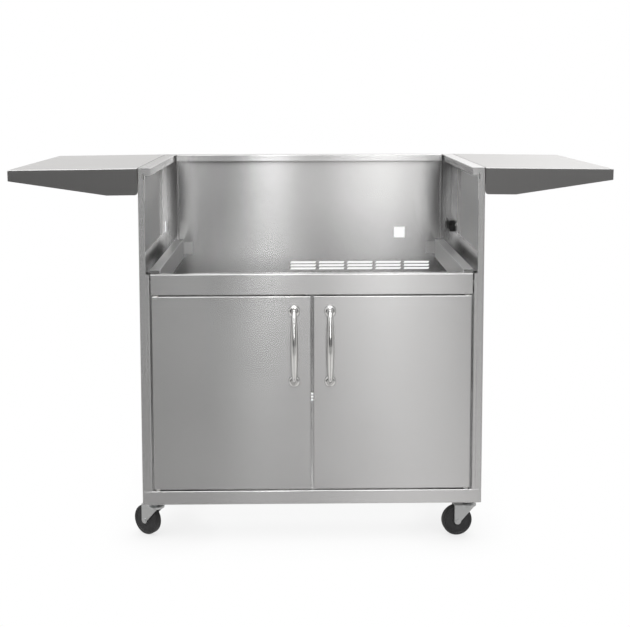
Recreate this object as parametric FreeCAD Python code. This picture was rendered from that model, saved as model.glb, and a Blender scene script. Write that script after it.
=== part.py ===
import FreeCAD, Part
import math
import os

from FreeCAD import Vector

# Stainless cart for a drop-in grill, in millimetres.
# +Z is up, -Y is the side with the doors, +X is to the right of a person facing the doors.
# The origin lies on the floor, under the middle of the whole object.

# Body
BODY_WIDTH = 840.0
BODY_DEPTH = 560.0
BODY_HEIGHT = 836.0
SHEET = 1.2
BEND_RADIUS = 2.0
EDGE_RADIUS = 0.9
JOINT_GAP = 1.5
TOUCH = 0.001

# Base tray
BASE_HEIGHT = 34.5
BASE_RETURN = 30.0
BASE_HEM = 8.0
CORNER_PLATE = 92.0
CORNER_PLATE_THICK = 3.0

# Top rim
RIM_WIDTH = 30.0
RIM_LIP = 19.0
RIM_HEM = 5.0
RIM_CORNER = 3.0

# Side walls
POST_FACE = 16.0
POST_RELIEF_WIDTH = 3.0
POST_RELIEF_DEPTH = 9.0
REAR_FLANGE = 29.0
REAR_FLANGE_LIP = 7.0
REAR_STRIP = 8.2
REAR_STRIP_RETURN = 5.0
LINER_DEPTH = 280.0
LINER_ABOVE_RAIL = 48.0
LINER_BEND = 12.0
LINER_EDGE = 7.0
BAND_HEIGHT = 78.0
BAND_THICK = 1.5
BAND_NOTCH = 6.0

# Hinge stiles beside the doors
STILE_REACH = 8.5
STILE_DEPTH = 40.0

# Front rail over the doors
BAY_HEIGHT = 259.0
RAIL_HEIGHT = 51.0
RAIL_TOP_DEPTH = 25.0
RAIL_TOP_RETURN = 20.0
RAIL_BOTTOM_DEPTH = 40.0
RAIL_BOTTOM_RETURN = 12.0
RAIL_END_GAP = 3.0

# Rails that carry the grill
GRILL_RAIL_DROP = 252.0
GRILL_RAIL_HEIGHT = 54.0
GRILL_RAIL_INSET = 48.0
GRILL_RAIL_FLANGE = 25.0
GRILL_RAIL_TAB = 27.0
GRILL_RAIL_TAB_HEIGHT = 36.0
GRILL_RAIL_CLEARANCE = 2.0

# Back panel
PORT_SIZE = 32.0
PORT_DROP = 232.0
PORT_X = 266.0
LOUVRE_LENGTH = 77.0
LOUVRE_SLOT = 6.0
LOUVRE_PITCH = 9.2
LOUVRE_SPACING = 84.0
LOUVRE_SLANT = 3.0
LOUVRE_COLUMNS = 5
LOUVRE_ROWS = 3
LOUVRE_LEFT_X = -57.0
UPPER_LOUVRE_DROP = 321.0
LOWER_LOUVRE_DROP = 719.0

# Side ports, near the back, the right one with a plastic bushing
SIDE_PORT_FROM_BACK = 36.0
SIDE_PORT_DROP = 208.0
BUSHING_WALL = 4.0
BUSHING_COLLAR = 3.0
BUSHING_REACH = 10.0
BUSHING_NOTCH_DEPTH = 7.0
BUSHING_NOTCH_LOW = 1.0
BUSHING_NOTCH_HIGH = 7.0

# Doors
DOOR_THICK = 16.0
DOOR_SIDE_GAP = 4.5
DOOR_MIDDLE_GAP = 6.0
DOOR_TOP_GAP = 3.5
DOOR_BOTTOM_GAP = 4.0
DOOR_HEM = 12.0
PIN_FROM_EDGE = 9.5
PIN_RADIUS = 3.0
PIN_HEAD_RADIUS = 5.0
PIN_HEAD_THICK = 2.5
PIN_REACH = 14.0
SHOULDER_RADIUS = 6.0
SEAT_CLEARANCE = 0.3
RUNNING_CLEARANCE = 0.05
BUSH_WALL = 2.0
BUSH_LENGTH = 8.0
BUSH_COLLAR = 1.5

# Door catches
CATCH_LENGTH = 40.0
CATCH_DEPTH = 14.0
CATCH_HEIGHT = 16.0
CATCH_FROM_MIDDLE = 32.0
STRIKE_LENGTH = 34.0
STRIKE_HEIGHT = 13.0
STRIKE_THICK = 1.0

# Handles
HANDLE_CENTRES = 174.0
HANDLE_DROP = 124.5
HANDLE_FROM_EDGE = 41.0
HANDLE_BOW = 23.0
HANDLE_END_RADIUS = 5.5
HANDLE_GRIP_RADIUS = 9.5
HANDLE_STATIONS = 9
ROSETTE_RADIUS = 14.5
ROSETTE_THICK = 7.0
ROSETTE_EDGE = 6.4
HANDLE_SCREW_RADIUS = 2.0
HANDLE_SCREW_HEAD = 4.0
HANDLE_SCREW_HEAD_THICK = 2.0
HANDLE_SCREW_DEPTH = 7.0

# Side shelves
SHELF_LENGTH = 310.4
SHELF_GAP = 0.6
SHELF_FLANGE = 65.0
SHELF_END_FLANGE = 27.0
SHELF_STRAIGHT = 74.0
SHELF_SAG_ANGLE = 0.7
SHELF_PIVOT_INSET = 7.2
SHELF_ROD_RADIUS = 3.5
SHELF_ROD_OVERHANG = 6.0
EAR_THICK = 3.0
EAR_RADIUS = 7.5
EAR_FROM_FRONT = 62.0
LUG_GAP = 0.5
LUG_RADIUS = 5.7
LUG_THICK = 3.0
LUG_LENGTH = 44.0
BRACKET_THICK = 1.8
BRACKET_HEIGHT = 34.0
BRACKET_MARGIN = 22.0
WEB_ABOVE_PIVOT = 18.0
STIFFENER_WIDTH = 42.0
STIFFENER_HEIGHT = 15.0
STIFFENER_AT = 150.0

# Casters
CASTER_HEIGHT = 100.0
CASTER_INSET_X = 25.5
CASTER_INSET_Y = 52.0
CASTER_TRAIL = 28.5
WHEEL_RADIUS = 38.0
WHEEL_WIDTH = 20.0
WHEEL_EDGE = 4.0
WHEEL_DISH = 2.0
WHEEL_HUB_RADIUS = 11.0
WHEEL_RIM_INSET = 8.0
WHEEL_SIDE_GAP = 1.2
FORK_SHEET = 2.5
FORK_ARM_LEAD = 15.0
FORK_ARM_TIP = 8.5
FORK_LEAD_DROP = 5.0
FORK_SHOULDER = 3.0
CROWN_DROP = 19.5
CROWN_RADIUS = 21.5
CROWN_THICK = 4.0
CROWN_SKIRT = 5.3
CROWN_EDGE = 1.2
CROWN_RECESS = 1.5
CROWN_RECESS_RADIUS = 15.0
WHEEL_ROOM = 1.5
RACE_DROP = 14.5
RACE_RADIUS = 16.0
NECK_RADIUS = 11.0
AXLE_RADIUS = 4.0
AXLE_HEAD_RADIUS = 5.5
AXLE_HEAD_THICK = 2.0
STEM_RADIUS = 5.0
STEM_LENGTH = 20.0
STEM_FLANGE_RADIUS = 20.0
STEM_FLANGE_THICK = 3.0
KING_RADIUS = 6.0
KING_HEAD_RADIUS = 9.0
KING_HEAD_THICK = 3.0
NUT_ACROSS = 17.0
NUT_THICK = 8.0
# Which way each wheel trails from its swivel, seen from above, degrees from +X
CASTER_HEADINGS = {
    "front_left": 145.0,
    "front_right": 187.0,
    "rear_left": 300.0,
    "rear_right": 230.0,
}

# Rivets that show in the bay
RIVET_RADIUS = 2.0
RIVET_HEAD_RADIUS = 4.0
RIVET_HEAD_THICK = 1.6
RIM_RIVET_SPACING = 185.0
RIM_RIVET_DROP = 34.0
STRIP_RIVET_DROP = 40.0
FLANGE_RIVET_DROP = 173.0
FLANGE_RIVET_INSET = 22.6
WALL_RIVET_DROP = 152.0
WALL_RIVET_FROM_FRONT = 420.0

# Levels and places worked out from the sizes above
HALF = BODY_WIDTH / 2
HANDLE_REACH = ROSETTE_THICK + HANDLE_BOW + HANDLE_GRIP_RADIUS
FRONT = (HANDLE_REACH - BODY_DEPTH) / 2
BACK = FRONT + BODY_DEPTH
BASE_BOTTOM = CASTER_HEIGHT
BASE_TOP = BASE_BOTTOM + BASE_HEIGHT
BODY_TOP = BASE_BOTTOM + BODY_HEIGHT
UNDER_RIM = BODY_TOP - SHEET
RAIL_TOP = BODY_TOP - BAY_HEIGHT
RAIL_BOTTOM = RAIL_TOP - RAIL_HEIGHT
DOOR_TOP = RAIL_BOTTOM - DOOR_TOP_GAP
DOOR_BOTTOM = BASE_TOP + DOOR_BOTTOM_GAP
WALL_INNER = HALF - SHEET
LINER_X = HALF - POST_FACE
STILE_X = LINER_X - STILE_REACH
DOOR_OUTER_X = STILE_X - DOOR_SIDE_GAP
DOOR_INNER_X = DOOR_MIDDLE_GAP / 2
PIN_X = DOOR_OUTER_X - PIN_FROM_EDGE
PIN_Y = FRONT + DOOR_THICK / 2
HANDLE_X = DOOR_INNER_X + HANDLE_FROM_EDGE
HANDLE_Z = DOOR_TOP - HANDLE_DROP
RIM_INNER_X = HALF - RIM_WIDTH
BACK_INNER_Y = BACK - SHEET
FLANGE_Y = BACK_INNER_Y - SHEET
STRIP_X = HALF - REAR_FLANGE + SHEET - REAR_STRIP
STRIP_Y = FLANGE_Y - REAR_FLANGE_LIP
GRILL_RAIL_X = HALF - GRILL_RAIL_INSET
GRILL_RAIL_TOP = BODY_TOP - GRILL_RAIL_DROP
GRILL_RAIL_FRONT = FRONT + RAIL_TOP_DEPTH
SHELF_INNER_X = HALF + SHELF_GAP
SHELF_OUTER_X = SHELF_INNER_X + SHELF_LENGTH
PIVOT_X = SHELF_INNER_X + SHELF_PIVOT_INSET
PIVOT_Z = BODY_TOP - SHELF_FLANGE + SHELF_PIVOT_INSET
SWIVEL_X = HALF - CASTER_INSET_X
SWIVEL_Y = {"front": FRONT + CASTER_INSET_Y, "rear": BACK - CASTER_INSET_Y}
FORK_TOP = CASTER_HEIGHT - CROWN_DROP
ARM_INNER = WHEEL_WIDTH / 2 + WHEEL_SIDE_GAP
ARM_OUTER = ARM_INNER + FORK_SHEET

X_AXIS = Vector(1, 0, 0)
Y_AXIS = Vector(0, 1, 0)
Z_AXIS = Vector(0, 0, 1)
ORIGIN = Vector(0, 0, 0)
LEFT = -1
RIGHT = 1
SIDES = {"left": LEFT, "right": RIGHT}


def block(x_range, y_range, z_range):
    """Return a box between two x, two y and two z values."""
    (x0, x1), (y0, y1), (z0, z1) = x_range, y_range, z_range
    return Part.makeBox(x1 - x0, y1 - y0, z1 - z0, Vector(x0, y0, z0))


def rod(radius, start, length, direction=Z_AXIS):
    """Return a round bar from a start point along a direction."""
    return Part.makeCylinder(radius, length, start, direction)


def joined(*shapes):
    """Return one solid made of shapes that touch or overlap."""
    result = shapes[0]
    for shape in shapes[1:]:
        result = result.fuse(shape)
    return result.removeSplitter()


def bored(shape, *tools):
    """Return a shape with every tool cut out of it."""
    for tool in tools:
        shape = shape.cut(tool)
    return shape


def plate(points, thickness_vector):
    """Return a flat plate from its corner points, thickened along a vector."""
    outline = Part.makePolygon(points + [points[0]])
    return Part.Face(outline).extrude(thickness_vector)


def softened(shape, radius, *lines):
    """Return a shape whose straight edges on some lines are rounded; a line is two fixed coordinates."""
    chosen = [edge for edge in shape.Edges for line in lines
              if all(abs(getattr(vertex.Point, axis) - value) < TOUCH
                     for vertex in edge.Vertexes for axis, value in line.items())]
    return shape.makeFillet(radius, chosen)


def handed(shape, side):
    """Return the piece as modelled for the right, or its mirror image for the left."""
    if side == RIGHT:
        return shape
    return shape.mirror(ORIGIN, X_AXIS)


def port(centre_x, centre_z, y0, y1):
    """Return the square plug that cuts a hose port through the back panel."""
    half = PORT_SIZE / 2
    return block((centre_x - half, centre_x + half), (y0, y1), (centre_z - half, centre_z + half))


def side_port():
    """Return the square plug that cuts a hose port through the right side panel."""
    half = PORT_SIZE / 2
    centre_y = BACK - SIDE_PORT_FROM_BACK
    centre_z = BODY_TOP - SIDE_PORT_DROP
    return block(
        (WALL_INNER - SHEET, HALF + SHEET),
        (centre_y - half, centre_y + half),
        (centre_z - half, centre_z + half),
    )


# Rivet places: on the back panel, on the side wall's rear folds and on the wall, for the right half

def back_rivets():
    """Return the places of the rivets in the row under the back rim."""
    z = BODY_TOP - RIM_RIVET_DROP
    return [Vector(step * RIM_RIVET_SPACING, BACK_INNER_Y, z) for step in (-1, 0, 1)]


def flange_rivets():
    """Return the places of the rivets in the right wall's rear strip and rear flange."""
    return [
        Vector(STRIP_X + REAR_STRIP / 2, STRIP_Y, BODY_TOP - STRIP_RIVET_DROP),
        Vector(HALF - FLANGE_RIVET_INSET, FLANGE_Y, BODY_TOP - FLANGE_RIVET_DROP),
    ]


def wall_rivet():
    """Return the place of the rivet in the right side wall."""
    return Vector(WALL_INNER, FRONT + WALL_RIVET_FROM_FRONT, BODY_TOP - WALL_RIVET_DROP)


def rivet(place, inward):
    """Return one rivet: a flat head on the inner face and a shank through the sheet behind it."""
    head = rod(RIVET_HEAD_RADIUS, place, RIVET_HEAD_THICK, inward)
    shank = rod(RIVET_RADIUS, place, SHEET, inward.negative())
    return joined(head, shank)


def rivet_hole(place, outward):
    """Return the plug that cuts a rivet's hole through one sheet."""
    return rod(RIVET_RADIUS, place, SHEET, outward)


def frame_rivets():
    """Return every rivet that shows in the grill bay, as separate solids."""
    towards_front = Y_AXIS.negative()
    rivets = [rivet(place, towards_front) for place in back_rivets()]
    for side in SIDES.values():
        rivets += [handed(rivet(place, towards_front), side) for place in flange_rivets()]
        rivets.append(handed(rivet(wall_rivet(), X_AXIS.negative()), side))
    return Part.makeCompound(rivets)


# Base and casters' seats

def caster_places():
    """Return the swivel place of each caster, by name."""
    places = {}
    for end, y in SWIVEL_Y.items():
        for hand, side in SIDES.items():
            places[f"{end}_{hand}"] = Vector(side * SWIVEL_X, y, 0)
    return places


def base_tray():
    """Return the folded tray: a floor sheet, a skirt all round, and returns under it."""
    xs, ys = (-HALF, HALF), (FRONT, BACK)
    outer = block(xs, ys, (BASE_BOTTOM, BASE_TOP))
    outer = outer.makeFillet(BEND_RADIUS, outer.Edges)
    hollow = block(
        (xs[0] + SHEET, xs[1] - SHEET),
        (ys[0] + SHEET, ys[1] - SHEET),
        (BASE_BOTTOM + SHEET, BASE_TOP - SHEET),
    )
    mouth = block(
        (xs[0] + BASE_RETURN, xs[1] - BASE_RETURN),
        (ys[0] + BASE_RETURN, ys[1] - BASE_RETURN),
        (BASE_BOTTOM - SHEET, BASE_BOTTOM + 2 * SHEET),
    )
    hem = block(
        (xs[0] + BASE_RETURN - SHEET, xs[1] - BASE_RETURN + SHEET),
        (ys[0] + BASE_RETURN - SHEET, ys[1] - BASE_RETURN + SHEET),
        (BASE_BOTTOM, BASE_BOTTOM + BASE_HEM),
    ).cut(block(
        (xs[0] + BASE_RETURN, xs[1] - BASE_RETURN),
        (ys[0] + BASE_RETURN, ys[1] - BASE_RETURN),
        (BASE_BOTTOM, BASE_BOTTOM + BASE_HEM),
    ))
    corners = [corner_space(name) for name in caster_places()]
    hem = bored(hem, *corners)
    tray = joined(outer.cut(hollow).cut(mouth), hem)
    holes = [stem_hole(place) for place in caster_places().values()]
    pins = [rod(PIN_RADIUS, Vector(side * PIN_X, PIN_Y, BASE_TOP - SHEET), SHEET)
            for side in SIDES.values()]
    return bored(tray, *holes, *pins)


def corner_square(name, z0, z1):
    """Return the square of one base corner between two heights, inside the skirt."""
    place = caster_places()[name]
    x_edge = math.copysign(HALF - SHEET, place.x)
    y_edge = FRONT + SHEET if name.startswith("front") else BACK - SHEET
    x_far = x_edge - math.copysign(CORNER_PLATE, place.x)
    y_far = y_edge + (CORNER_PLATE if name.startswith("front") else -CORNER_PLATE)
    return block(sorted((x_edge, x_far)), sorted((y_edge, y_far)), (z0, z1))


def corner_space(name):
    """Return the space of one corner plate above the base's returns."""
    return corner_square(name, BASE_BOTTOM + SHEET, BASE_BOTTOM + BASE_HEM)


def stem_hole(place):
    """Return the plug that cuts a caster stem's hole through the base and its corner plate."""
    start = Vector(place.x, place.y, BASE_BOTTOM)
    return rod(STEM_RADIUS, start, SHEET + CORNER_PLATE_THICK)


def base_corner_plates():
    """Return the four plates that stiffen the base where the casters are bolted on."""
    z0 = BASE_BOTTOM + SHEET
    plates = []
    for name, place in caster_places().items():
        square = corner_square(name, z0, z0 + CORNER_PLATE_THICK)
        plates.append(square.cut(stem_hole(place)))
    return Part.makeCompound(plates)


# Side walls

def mitre_wedge():
    """Return the space over the slanted seam where the right rim's front face meets the post."""
    y = FRONT - SHEET
    corners = [
        Vector(HALF, y, BODY_TOP),
        Vector(HALF - RIM_LIP, y, BODY_TOP - RIM_LIP),
        Vector(RIM_INNER_X - SHEET, y, BODY_TOP - RIM_LIP),
        Vector(RIM_INNER_X - SHEET, y, BODY_TOP + RIM_LIP),
        Vector(HALF, y, BODY_TOP + RIM_LIP),
    ]
    return plate(corners, Vector(0, 3 * SHEET, 0))


def rear_fold():
    """Return the folds behind the right wall: a flange, its lip and a strip that faces forward."""
    z_range = (BASE_TOP, UNDER_RIM)
    lip_x = HALF - REAR_FLANGE
    flange = block((lip_x, HALF), (FLANGE_Y, BACK_INNER_Y), z_range)
    lip = block((lip_x, lip_x + SHEET), (STRIP_Y, BACK_INNER_Y), z_range)
    strip = block((STRIP_X, lip_x + SHEET), (STRIP_Y, STRIP_Y + SHEET), z_range)
    leg = block((STRIP_X, STRIP_X + SHEET), (STRIP_Y, STRIP_Y + REAR_STRIP_RETURN), z_range)
    edges = [{"x": x, "y": STRIP_Y} for x in (STRIP_X, lip_x + SHEET)]
    return softened(joined(flange, lip, strip, leg), BEND_RADIUS, *edges)


def side_panel(side):
    """Return an outer side wall with its front post face and its folds at the rear."""
    skin = block((WALL_INNER, HALF), (FRONT, BACK_INNER_Y), (BASE_TOP, UNDER_RIM))
    post = block((LINER_X, HALF), (FRONT, FRONT + SHEET), (BASE_TOP, UNDER_RIM))
    relief = block(
        (LINER_X, LINER_X + POST_RELIEF_WIDTH),
        (FRONT, FRONT + SHEET),
        (BODY_TOP - RIM_LIP - POST_RELIEF_DEPTH, UNDER_RIM),
    )
    folded = softened(joined(skin, post), BEND_RADIUS, {"x": HALF, "y": FRONT})
    folded = softened(folded, EDGE_RADIUS, {"x": LINER_X, "y": FRONT})
    panel = joined(bored(folded, mitre_wedge(), relief), rear_fold())
    holes = [rivet_hole(place, Y_AXIS) for place in flange_rivets()]
    holes.append(rivet_hole(wall_rivet(), X_AXIS))
    return handed(bored(panel, side_port(), *holes), side)


def side_liner(side):
    """Return the inner skin that boxes in the front half of the wall beside the grill bay."""
    bottom = RAIL_TOP + LINER_ABOVE_RAIL
    front, back = FRONT + SHEET, FRONT + LINER_DEPTH
    z_range = (bottom + LINER_BEND, UNDER_RIM)
    face = block((LINER_X, LINER_X + SHEET), (front, back), z_range)
    closing = block((LINER_X - LINER_EDGE, WALL_INNER), (back - SHEET, back), z_range)
    centre = Vector(LINER_X + LINER_BEND, front, bottom + LINER_BEND)
    quarter = block((LINER_X, centre.x), (front, back), (bottom, centre.z))
    outer = rod(LINER_BEND, centre, back - front, Y_AXIS)
    inner = rod(LINER_BEND - SHEET, centre, back - front, Y_AXIS)
    floor = block((centre.x, WALL_INNER), (front, back), (bottom, bottom + SHEET))
    return handed(joined(face, closing, outer.cut(inner).common(quarter), floor), side)


def shelf_band(side):
    """Return the plate inside the bay that backs the side shelf's bracket."""
    x_range = (LINER_X - BAND_THICK, LINER_X)
    back = FRONT + LINER_DEPTH - SHEET
    z0 = BODY_TOP - BAND_HEIGHT
    notch_top = z0 + 2 * BAND_NOTCH
    band = block(x_range, (FRONT + SHEET, back), (z0, UNDER_RIM))
    notch = block(x_range, (back - BAND_NOTCH, back), (z0, notch_top))
    edge = block(
        (LINER_X - BAND_THICK - LINER_EDGE, LINER_X), (back - BAND_THICK, back), (notch_top, UNDER_RIM)
    )
    return handed(joined(band.cut(notch), edge), side)


def hinge_stile(side):
    """Return the channel between post and door that carries the door's closing edge."""
    z_range = (BASE_TOP, RAIL_TOP)
    face = block((STILE_X, LINER_X), (FRONT, FRONT + SHEET), z_range)
    cheek = block((STILE_X, STILE_X + SHEET), (FRONT, FRONT + STILE_DEPTH), z_range)
    back = block((STILE_X, WALL_INNER), (FRONT + STILE_DEPTH - SHEET, FRONT + STILE_DEPTH), z_range)
    stile = softened(joined(face, cheek, back), BEND_RADIUS, {"x": STILE_X, "y": FRONT})
    return handed(stile, side)


# Rim round the bay

def side_rim(side):
    """Return a side rim: a top flange, a lip down its inner edge and a face over the post."""
    lip_back = BACK - RIM_WIDTH
    top = block((RIM_INNER_X, HALF), (FRONT, BACK), (UNDER_RIM, BODY_TOP))
    corner = block((RIM_INNER_X - RIM_CORNER, HALF), (lip_back, BACK), (UNDER_RIM, BODY_TOP))
    lip = block(
        (RIM_INNER_X, RIM_INNER_X + SHEET), (FRONT, lip_back), (BODY_TOP - RIM_LIP, BODY_TOP)
    )
    hem = block(
        (RIM_INNER_X, RIM_INNER_X + RIM_HEM),
        (FRONT, lip_back),
        (BODY_TOP - RIM_LIP, BODY_TOP - RIM_LIP + SHEET),
    )
    face = block((RIM_INNER_X, HALF), (FRONT, FRONT + SHEET), (BODY_TOP - RIM_LIP, UNDER_RIM))
    rim = joined(top, lip, hem, face.common(mitre_wedge()))
    rim = softened(rim, BEND_RADIUS, {"x": RIM_INNER_X, "z": BODY_TOP})
    rim = softened(rim, EDGE_RADIUS, {"x": RIM_INNER_X, "z": BODY_TOP - RIM_LIP})
    return handed(joined(rim, corner), side)


def back_rim():
    """Return the rim along the back, between the side rims."""
    half = RIM_INNER_X - RIM_CORNER - JOINT_GAP
    y0 = BACK - RIM_WIDTH
    xs = (-half, half)
    top = block(xs, (y0, BACK), (UNDER_RIM, BODY_TOP))
    lip = block(xs, (y0, y0 + SHEET), (BODY_TOP - RIM_LIP, BODY_TOP))
    hem = block(xs, (y0, y0 + RIM_HEM), (BODY_TOP - RIM_LIP, BODY_TOP - RIM_LIP + SHEET))
    rim = softened(joined(top, lip, hem), BEND_RADIUS, {"y": y0, "z": BODY_TOP})
    return softened(
        rim, EDGE_RADIUS, {"y": y0, "z": BODY_TOP - RIM_LIP}, {"y": BACK, "z": BODY_TOP}
    )


# Back panel

def louvre_slot(left_x, top_z):
    """Return the plug for one long vent slot with slanted ends."""
    y = BACK_INNER_Y - SHEET
    corners = [
        Vector(left_x + LOUVRE_SLANT, y, top_z),
        Vector(left_x + LOUVRE_LENGTH, y, top_z),
        Vector(left_x + LOUVRE_LENGTH - LOUVRE_SLANT, y, top_z - LOUVRE_SLOT),
        Vector(left_x, y, top_z - LOUVRE_SLOT),
    ]
    return plate(corners, Vector(0, 3 * SHEET, 0))


def louvre_slots():
    """Return the plugs of the upper and the lower field of vent slots."""
    slots = []
    for field_drop in (UPPER_LOUVRE_DROP, LOWER_LOUVRE_DROP):
        field_top = BODY_TOP - field_drop + LOUVRE_SLOT / 2
        for row in range(LOUVRE_ROWS):
            for column in range(LOUVRE_COLUMNS):
                left_x = LOUVRE_LEFT_X + column * LOUVRE_SPACING
                slots.append(louvre_slot(left_x, field_top - row * LOUVRE_PITCH))
    return slots


def back_panel():
    """Return the back sheet with its hose port, rivet holes and two fields of vent slots."""
    sheet = block((-HALF, HALF), (BACK_INNER_Y, BACK), (BASE_TOP, UNDER_RIM))
    hose_port = port(PORT_X, BODY_TOP - PORT_DROP, BACK_INNER_Y - SHEET, BACK + SHEET)
    holes = [rivet_hole(place, Y_AXIS) for place in back_rivets()]
    return bored(sheet, hose_port, *holes, *louvre_slots())


# Front rail and grill rails

def front_rail():
    """Return the folded rail over the doors, with flanges at its top and bottom."""
    face_half = STILE_X - RAIL_END_GAP
    full = (-STILE_X, STILE_X)
    face = block((-face_half, face_half), (FRONT, FRONT + SHEET), (RAIL_BOTTOM, RAIL_TOP))
    top = block((-face_half, face_half), (FRONT, FRONT + RAIL_TOP_DEPTH), (RAIL_TOP - SHEET, RAIL_TOP))
    top_return = block(
        full,
        (FRONT + RAIL_TOP_DEPTH - SHEET, FRONT + RAIL_TOP_DEPTH),
        (RAIL_TOP - RAIL_TOP_RETURN, RAIL_TOP),
    )
    bottom = block(
        (-face_half, face_half), (FRONT, FRONT + RAIL_BOTTOM_DEPTH), (RAIL_BOTTOM, RAIL_BOTTOM + SHEET)
    )
    bottom_return = block(
        full,
        (FRONT + RAIL_BOTTOM_DEPTH - SHEET, FRONT + RAIL_BOTTOM_DEPTH),
        (RAIL_BOTTOM, RAIL_BOTTOM + RAIL_BOTTOM_RETURN),
    )
    pins = [rod(PIN_RADIUS, Vector(side * PIN_X, PIN_Y, RAIL_BOTTOM), SHEET)
            for side in SIDES.values()]
    rail = joined(face, top, top_return, bottom, bottom_return)
    rail = softened(
        rail, BEND_RADIUS, {"y": FRONT, "z": RAIL_TOP}, {"y": FRONT, "z": RAIL_BOTTOM}
    )
    return bored(rail, *pins)


def grill_rail(side):
    """Return one of the two angle rails on which the grill rests, with an end tab at each end."""
    ys = (GRILL_RAIL_FRONT, BACK_INNER_Y)
    z0 = GRILL_RAIL_TOP - GRILL_RAIL_HEIGHT
    web = block((GRILL_RAIL_X, GRILL_RAIL_X + SHEET), ys, (z0, GRILL_RAIL_TOP))
    flange = block(
        (GRILL_RAIL_X, GRILL_RAIL_X + GRILL_RAIL_FLANGE),
        (ys[0], ys[1] - REAR_FLANGE_LIP - 2 * SHEET),
        (GRILL_RAIL_TOP - SHEET, GRILL_RAIL_TOP),
    )
    tab_x = (GRILL_RAIL_X - GRILL_RAIL_TAB, GRILL_RAIL_X + SHEET)
    tab_z = (RAIL_TOP - GRILL_RAIL_TAB_HEIGHT, RAIL_TOP)
    front_tab = block(tab_x, (ys[0], ys[0] + SHEET), tab_z)
    back_tab = block(tab_x, (ys[1] - SHEET, ys[1]), tab_z)
    clearance = GRILL_RAIL_CLEARANCE
    notch = block(
        (GRILL_RAIL_X - SHEET, GRILL_RAIL_X + 2 * SHEET),
        (ys[0] - SHEET, FRONT + RAIL_BOTTOM_DEPTH + clearance),
        (RAIL_BOTTOM - SHEET, RAIL_BOTTOM + RAIL_BOTTOM_RETURN + clearance),
    )
    angle = softened(joined(web, flange), EDGE_RADIUS, {"x": GRILL_RAIL_X, "z": GRILL_RAIL_TOP})
    return handed(joined(angle, front_tab, back_tab).cut(notch), side)


def hose_bushing():
    """Return the plastic bushing clipped into the right side port, with a notched mouth."""
    half = PORT_SIZE / 2
    centre_y = BACK - SIDE_PORT_FROM_BACK
    centre_z = BODY_TOP - SIDE_PORT_DROP
    bore = half - BUSHING_WALL
    inner_x = WALL_INNER - BUSHING_REACH

    def square(reach, x_range):
        return block(
            x_range, (centre_y - reach, centre_y + reach), (centre_z - reach, centre_z + reach)
        )

    body = square(half, (inner_x, HALF))
    collar = square(half + BUSHING_COLLAR, (HALF, HALF + BUSHING_COLLAR))
    hole = square(bore, (inner_x - SHEET, HALF + 2 * BUSHING_COLLAR))
    notch = block(
        (inner_x, inner_x + BUSHING_NOTCH_DEPTH),
        (centre_y - half, centre_y),
        (centre_z + BUSHING_NOTCH_LOW, centre_z + BUSHING_NOTCH_HIGH),
    )
    return bored(joined(body, collar), hole, notch)


# Doors

def door_pins():
    """Return the four fixed pivot pins: one in the rail and one in the base for each door."""
    pins = []
    for side in SIDES.values():
        x = side * PIN_X
        upper = joined(
            rod(PIN_RADIUS, Vector(x, PIN_Y, DOOR_TOP - PIN_REACH),
                RAIL_BOTTOM + SHEET - DOOR_TOP + PIN_REACH),
            rod(PIN_HEAD_RADIUS, Vector(x, PIN_Y, RAIL_BOTTOM + SHEET), PIN_HEAD_THICK),
        )
        lower = joined(
            rod(PIN_RADIUS, Vector(x, PIN_Y, BASE_TOP - SHEET),
                DOOR_BOTTOM + PIN_REACH - BASE_TOP + SHEET),
            rod(PIN_HEAD_RADIUS, Vector(x, PIN_Y, BASE_TOP - SHEET - PIN_HEAD_THICK), PIN_HEAD_THICK),
            rod(SHOULDER_RADIUS, Vector(x, PIN_Y, BASE_TOP),
                DOOR_BOTTOM_GAP - BUSH_COLLAR - SEAT_CLEARANCE),
        )
        pins += [upper, lower]
    return Part.makeCompound(pins)


def bush_hole(z0, height):
    """Return the plug that cuts a pivot bush's seat in the right door."""
    return rod(PIN_RADIUS + RUNNING_CLEARANCE + BUSH_WALL, Vector(PIN_X, PIN_Y, z0), height)


def door_panel(side):
    """Return the folded outer skin of a door, open at the back but for a hem all round."""
    xs = (DOOR_INNER_X, DOOR_OUTER_X)
    zs = (DOOR_BOTTOM, DOOR_TOP)
    back = FRONT + DOOR_THICK
    shell = block(xs, (FRONT, back - SHEET), zs)
    front_edges = [edge for edge in shell.Edges if edge.BoundBox.YMax < FRONT + TOUCH]
    shell = shell.makeFillet(BEND_RADIUS, front_edges)
    hollow = block(
        (xs[0] + SHEET, xs[1] - SHEET), (FRONT + SHEET, back), (zs[0] + SHEET, zs[1] - SHEET)
    )
    screws = [rod(HANDLE_SCREW_RADIUS, Vector(HANDLE_X, FRONT, z), SHEET, Y_AXIS)
              for z in handle_ends()]
    bushes = [bush_hole(zs[1] - SHEET, SHEET), bush_hole(zs[0], SHEET)]
    return handed(bored(shell.cut(hollow), *screws, *bushes), side)


def door_liner(side):
    """Return the flat inner skin that closes the back of a door."""
    xs = (DOOR_INNER_X, DOOR_OUTER_X)
    back = FRONT + DOOR_THICK
    sheet = block(xs, (back - SHEET, back), (DOOR_BOTTOM, DOOR_TOP))
    inner = (back - SHEET - DOOR_HEM, back - SHEET)
    edge = xs[0] + SHEET
    stiffener = block((edge, edge + SHEET), inner, (DOOR_BOTTOM + SHEET, DOOR_TOP - SHEET))
    return handed(joined(sheet, stiffener), side)


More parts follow.
